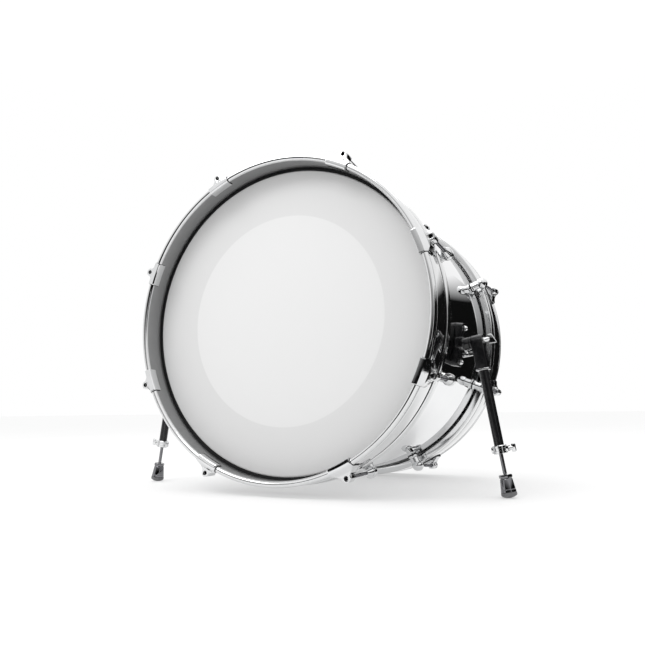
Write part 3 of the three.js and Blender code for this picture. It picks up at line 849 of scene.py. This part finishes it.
def holder_mesh():
    half = HOLDER_DEPTH / 2
    side = [(-half, HOLDER_BOTTOM), (half, HOLDER_BOTTOM)] + arc(0, PIVOT_HEIGHT, half, 0, 180, 20)
    block = prism("block", side, -HOLDER_WIDTH / 2, HOLDER_WIDTH / 2)
    block = moved(block, columns((0, 1, 0), (0, 0, 1), (1, 0, 0), (0, 0, 0)))
    bore = turned_up("bore", pillar(TUBE_BORE_RADIUS, 200, TUBE_TOP + SPUR_GAP), 40)
    bolt = turned_across("bolt", pillar(BOLT_HOLE_RADIUS, -30, 30), 32)
    block = changed(block, "DIFFERENCE", bore, moved(bolt, at(z=PIVOT_HEIGHT)))
    return smooth(bevelled(block, 1.8, 4), 35)


def holder_lip_mesh():
    outline = rounded_rectangle(HOLDER_WIDTH / 2 + 1.2, HOLDER_DEPTH / 2 + 1.2, 5)
    lip = prism("lip", outline, HOLDER_BOTTOM - 1, HOLDER_BOTTOM + 2.2)
    bore = turned_up("bore", pillar(TUBE_BORE_RADIUS, 200, 230), 40)
    return smooth(bevelled(changed(lip, "DIFFERENCE", bore), 0.7, 3), 35)


def wing_screw(name, shank, start, hub_start, wing, hub_length=5.0):
    """Screw along X: shank, hub with a collar, and a flat rounded wing."""
    hub_end = hub_start + hub_length
    hub = [
        (0, start), (shank - 0.4, start), (shank, start + 0.6), (shank, hub_start),
        (4.9, hub_start), (4.9, hub_start + 1.1), (3.7, hub_start + 1.6), (3.6, hub_end - 0.6),
        (2.6, hub_end + 1.6), (0, hub_end + 1.8),
    ]
    hub = turned_across(f"{name}_hub", hub, 36)
    blade = bevelled(prism(f"{name}_blade", wing, -1.5, 1.5), 0.9, 4)
    blade = moved(blade, Matrix.Rotation(math.pi / 2, 4, "X") @ at(hub_end - 1.0))
    return smooth(joined(name, hub, blade), 35)


def collar_mesh():
    middle = (CLAMP_BOTTOM + CLAMP_TOP) / 2
    ring = [
        (LEG_ROD_HOLE_RADIUS, CLAMP_BOTTOM), (10.6, CLAMP_BOTTOM), (12, CLAMP_BOTTOM + 1.2),
        (12, CLAMP_BOTTOM + 4.4), (11.3, CLAMP_BOTTOM + 5), (11.3, CLAMP_TOP - 5),
        (12, CLAMP_TOP - 4.4), (12, CLAMP_TOP - 1.2), (10.8, CLAMP_TOP),
        (TUBE_BORE_RADIUS, CLAMP_TOP), (TUBE_BORE_RADIUS, CLAMP_BOTTOM + 4),
        (LEG_ROD_HOLE_RADIUS, CLAMP_BOTTOM + 4),
    ]
    ring = turned_up("ring", ring, 48)
    ear = prism("ear", rounded_rectangle(2.6, 4.8, 1.2), -5, 5)
    ear = moved(bevelled(ear, 0.8, 3), at(12.4, 0, middle))
    tab = prism("tab", rounded_rectangle(2.2, 4.0, 1.0), -5, 5)
    tab = moved(bevelled(tab, 0.8, 3), at(-11.6, 0, middle))
    return smooth(joined("clamp_collar", ring, ear, tab), 35)


def foot_meshes():
    cone = [
        (LEG_ROD_HOLE_RADIUS, 9.5), (12.2, 9.5), (12.6, 10.0), (12.3, 13.2), (11.8, 13.6),
        (11.8, 14.2), (12.0, 14.6), (10.2, 29.6), (9.4, FOOT_HEIGHT - 0.6), (8.8, FOOT_HEIGHT),
        (LEG_ROD_HOLE_RADIUS, FOOT_HEIGHT),
    ]
    edge = math.degrees(math.asin(12.0 / SOLE_CURVE))
    sole = (
        arc(0, SOLE_CURVE, SOLE_CURVE, -90, edge - 90, 10)
        + [(12.8, 4.4), (13.0, 5.4), (12.8, 8.8), (12.3, 9.3), (0, 9.3)]
    )
    return smooth(turned_up("foot_cone", cone, 56)), smooth(turned_up("foot_sole", sole, 56))


def nut_mesh():
    bottom, top = FOOT_HEIGHT + SPUR_GAP, FOOT_HEIGHT + 5.8
    turns = [math.pi * k / 3 for k in range(6)]
    hexagon = [(NUT_RADIUS * math.cos(a), NUT_RADIUS * math.sin(a)) for a in turns]
    hexagon = prism("nut", hexagon, bottom, top)
    reach = NUT_RADIUS * 1.01
    round_edge = (
        [(0, bottom), (9.6, bottom), (reach, bottom + 0.9)]
        + [(reach, top - 0.9), (9.6, top), (0, top)]
    )
    round_edge = turned_up("round_edge", round_edge, 48)
    hole = turned_up("hole", pillar(LEG_ROD_HOLE_RADIUS, 0, 60), 32)
    nut = changed(changed(hexagon, "INTERSECT", round_edge), "DIFFERENCE", hole)
    return smooth(bevelled(nut, 0.3, 2), 30)


def tube_mesh():
    bottom, inner = CLAMP_BOTTOM + 4.4, 6
    outline = [
        (inner, bottom), (TUBE_RADIUS, bottom), (TUBE_RADIUS, TUBE_TOP - 0.5),
        (TUBE_RADIUS - 0.5, TUBE_TOP), (inner, TUBE_TOP),
    ]
    return smooth(turned_up("leg_tube", outline, 56))


def leg_rod_mesh():
    plain = [
        (0, 40), (LEG_ROD_RADIUS, 40), (LEG_ROD_RADIUS, LEG_ROD_TOP - 1),
        (LEG_ROD_RADIUS - 1, LEG_ROD_TOP), (0, LEG_ROD_TOP),
    ]
    plain = turned_up("plain", plain, 40)
    return smooth(joined("leg_rod", plain, thread("foot_thread", 9, 42)), 40)


def spur_pieces():
    pivot = at(z=PIVOT_HEIGHT)
    hub_start = HOLDER_WIDTH / 2 + SPUR_GAP
    pivot_wing = [(0, -8), (12, -8.6), (13.4, -7.4), (7.4, 7.4), (6.2, 8), (0, 8)]
    pivot_bolt = wing_screw("pivot_bolt", 4.0, -BOLT_DEPTH, hub_start, pivot_wing, 9.0)
    pivot_bolt = moved(pivot_bolt, pivot)
    lock_wing = [(0, -9), (6.6, -10), (8, -8.6), (8, 8.6), (6.6, 10), (0, 9)]
    lock_start = PIVOT_BOSS_RADIUS - LOCK_SCREW_DROP + SPUR_GAP
    lock = wing_screw("lock_screw", 2.5, 0, lock_start, lock_wing)
    downwards = Matrix.Rotation(math.pi / 2, 4, "Y")
    lock = moved(lock, at(LOCK_SCREW_X, 0, PIVOT_HEIGHT - LOCK_SCREW_DROP) @ downwards)
    clamp_wing = [(0, -6.4), (5.6, -7), (7, -5.8), (7, 5.8), (5.6, 7), (0, 6.4)]
    clamp = wing_screw("clamp_screw", 2.5, 9, 15.3, clamp_wing)
    clamp = moved(clamp, at(z=(CLAMP_BOTTOM + CLAMP_TOP) / 2))
    cone, sole = foot_meshes()
    bracket, screw = bracket_mesh(), bracket_screw_mesh()
    on_leg = (
        ("holder_block", holder_mesh(), ENAMEL, "leg", "black_enamel", "leg_holder"),
        ("holder_lip", holder_lip_mesh(), CHROME, "leg", "chrome", None),
        ("pivot_bolt", pivot_bolt, CHROME, "pivot_wing_bolt", "chrome", "pivot_wing_bolt"),
        ("lock_screw", lock, CHROME, "lock_wing_screw", "chrome", "lock_wing_screw"),
        ("tube", tube_mesh(), ENAMEL, "leg", "black_enamel", "leg_tube"),
        ("collar", collar_mesh(), CHROME, "leg", "chrome", "clamp_collar"),
        ("clamp_screw", clamp, CHROME, "clamp_wing_screw", "chrome", "clamp_wing_screw"),
        ("inner_rod", leg_rod_mesh(), DARK_CHROME, "leg_rod", "chrome", "leg_rod"),
        ("lock_nut", nut_mesh(), DARK_CHROME, "foot_nut", "chrome", "foot_nut"),
        ("foot_cone", cone, DARK_CHROME, "foot", "chrome", "foot"),
        ("foot_sole", sole, SOLE_RUBBER, "foot", "foot_rubber", None),
    )
    plate_middle = at(0, PLATE_SETBACK - BEAD_HALF_SPACING, 0)
    screw_turn = Matrix.Rotation(math.radians(PLATE_ANGLE), 4, "Y")
    for side in SIDES:
        shape, node = sided(bracket, side), f"{side}_spur_bracket"
        piece(f"{side}_bracket", shape, DRUM, ENAMEL, "drum", "black_enamel", node)
        for k, along in enumerate((-PLATE_SCREW_OFFSET, PLATE_SCREW_OFFSET), 1):
            spot = plate_middle @ screw_turn @ at(along, 0, PLATE_TOP + 0.9)
            shape = sided(moved(screw.copy(), spot), side)
            piece(f"{side}_bracket_screw_{k}", shape, DRUM, CHROME, "drum", "chrome")
        place = leg_frame(side)
        for name, mesh, material, body, slot, node in on_leg:
            stands_for = [f"{side}_{node}"] if node else []
            shape, body = sided(mesh, side), f"{side}_{body}"
            piece(f"{side}_{name}", shape, place, material, body, slot, *stands_for)


# --- studio ----------------------------------------------------------------------------------


def flat_card(name, width, height, matrix, material):
    mesh = bpy.data.meshes.new(name)
    w, h = width / 2, height / 2
    mesh.from_pydata([(-w, -h, 0), (w, -h, 0), (w, h, 0), (-w, h, 0)], [], [(0, 1, 2, 3)])
    obj = bpy.data.objects.new(name, mesh)
    bpy.context.scene.collection.objects.link(obj)
    obj.matrix_world = matrix
    mesh.materials.append(material)
    return obj


def floor():
    """Pale floor that glows a little, so that it stays white away from the object."""
    pale, duller = (0.50, 0.50, 0.50), (0.49, 0.49, 0.49)
    surface = Surface("floor_paint", pale, 0.0, 0.7, 0.0)
    surface.coloured(surface.spread(surface.noise(3.0), 0.0, 1.0), pale, duller)
    surface.shader.inputs["Emission Color"].default_value = (1, 1, 1, 1)
    surface.shader.inputs["Emission Strength"].default_value = 0.42
    flat_card("floor", 60, 60, Matrix.Identity(4), surface.material)


def dark_card(name, width, height, matrix, fade_start, fade_end):
    """Black flag that only reflections see, clear towards its upper edge.

    fade_start and fade_end are in metres above its lower edge.
    """
    surface = Surface(f"{name}_cloth", (0.004, 0.004, 0.004), 0.0, 0.9, 0.0)
    parts = surface.new("ShaderNodeSeparateXYZ")
    surface.links.new(surface.place, parts.inputs[0])
    low, high = fade_start - height / 2, fade_end - height / 2
    fade = surface.spread(parts.outputs["Y"], 0.0, 1.0, low, high)
    mix = surface.new("ShaderNodeMixShader")
    clear = surface.new("ShaderNodeBsdfTransparent")
    surface.links.new(fade, mix.inputs[0])
    surface.links.new(surface.shader.outputs[0], mix.inputs[1])
    surface.links.new(clear.outputs[0], mix.inputs[2])
    surface.links.new(mix.outputs[0], surface.nodes["Material Output"].inputs["Surface"])
    card = flat_card(name, width, height, matrix, surface.material)
    card.visible_camera = False
    card.visible_diffuse = False
    card.visible_shadow = False


def dark_cards():
    flat = Matrix.Identity(4)
    upright = Matrix.Rotation(math.pi / 2, 4, "X")
    sideways = Matrix.Rotation(math.pi / 2, 4, "Z") @ upright
    cards = (
        ("flag_beside", 3.3, 0.80, (1.97, 1.16, 0.40), upright, 0.62, 0.78),
        ("flag_before", 5.8, 2.2, (1.0, -3.2, 1.1), upright, 0.5, 2.2),
        ("flag_right", 3.8, 1.2, (2.6, 0.3, 0.6), sideways, 0.8, 1.2),
        ("flag_floor_right", 1.9, 3.3, (1.7, -0.75, 0.004), flat, 3.1, 3.3),
        ("flag_floor_front", 5.0, 2.6, (-0.4, -2.4, 0.005), flat, 2.2, 2.6),
    )
    for name, width, height, middle, turn, fade_start, fade_end in cards:
        place = Matrix.Translation(middle) @ turn
        dark_card(name, width, height, place, fade_start, fade_end)


def area_light(name, energy, size, location, target):
    light = bpy.data.lights.new(name, "AREA")
    light.energy = energy
    light.shape = "RECTANGLE"
    light.size, light.size_y = size
    obj = bpy.data.objects.new(name, light)
    bpy.context.scene.collection.objects.link(obj)
    obj.location = location
    obj.rotation_euler = (Vector(target) - Vector(location)).to_track_quat("-Z", "Y").to_euler()


def studio_world():
    """White all round and brighter overhead."""
    world = bpy.data.worlds.new("studio")
    world.use_nodes = True
    nodes, links = world.node_tree.nodes, world.node_tree.links
    background = nodes["Background"]
    background.inputs["Color"].default_value = (1, 1, 1, 1)
    parts = nodes.new("ShaderNodeSeparateXYZ")
    links.new(nodes.new("ShaderNodeTexCoord").outputs["Generated"], parts.inputs[0])
    gradient = nodes.new("ShaderNodeMapRange")
    gradient.interpolation_type = "SMOOTHSTEP"
    set_range(gradient, 0.40, 0.80, 1.0, 1.15)
    links.new(parts.outputs["Z"], gradient.inputs["Value"])
    links.new(gradient.outputs["Result"], background.inputs["Strength"])
    bpy.context.scene.world = world


def lights():
    studio_world()
    area_light("overhead", 20, (2.4, 2.4), (-0.2, 0.3, 2.6), (0, 0, 0.2))
    area_light("key", 9, (1.0, 0.6), (-0.55, -1.3, 1.6), (0.0, -0.25, 0.45))


def camera():
    """Low in front and to the right, looking slightly up."""
    data = bpy.data.cameras.new("camera")
    data.sensor_width = SENSOR_WIDTH
    data.lens = CAMERA_LENS
    obj = bpy.data.objects.new("camera", data)
    bpy.context.scene.collection.objects.link(obj)
    yaw, pitch, roll = map(math.radians, (CAMERA_YAW, CAMERA_PITCH, CAMERA_ROLL))
    level_ahead = Vector((-math.sin(yaw), math.cos(yaw), 0))
    ahead = level_ahead * math.cos(pitch) + Vector((0, 0, math.sin(pitch)))
    level = Vector((math.cos(yaw), math.sin(yaw), 0))
    upright = level.cross(ahead)
    right = math.cos(roll) * level + math.sin(roll) * upright
    up = right.cross(ahead)
    place = Vector(CAMERA_PLACE) * MM
    obj.matrix_world = end_frame("front") @ columns(right, up, -ahead, place)
    bpy.context.scene.camera = obj


def main():
    shell_pieces()
    hoops_and_heads()
    station_pieces()
    spur_pieces()
    floor()
    dark_cards()
    lights()
    camera()
    bpy.context.scene.view_settings.view_transform = "Standard"


main()
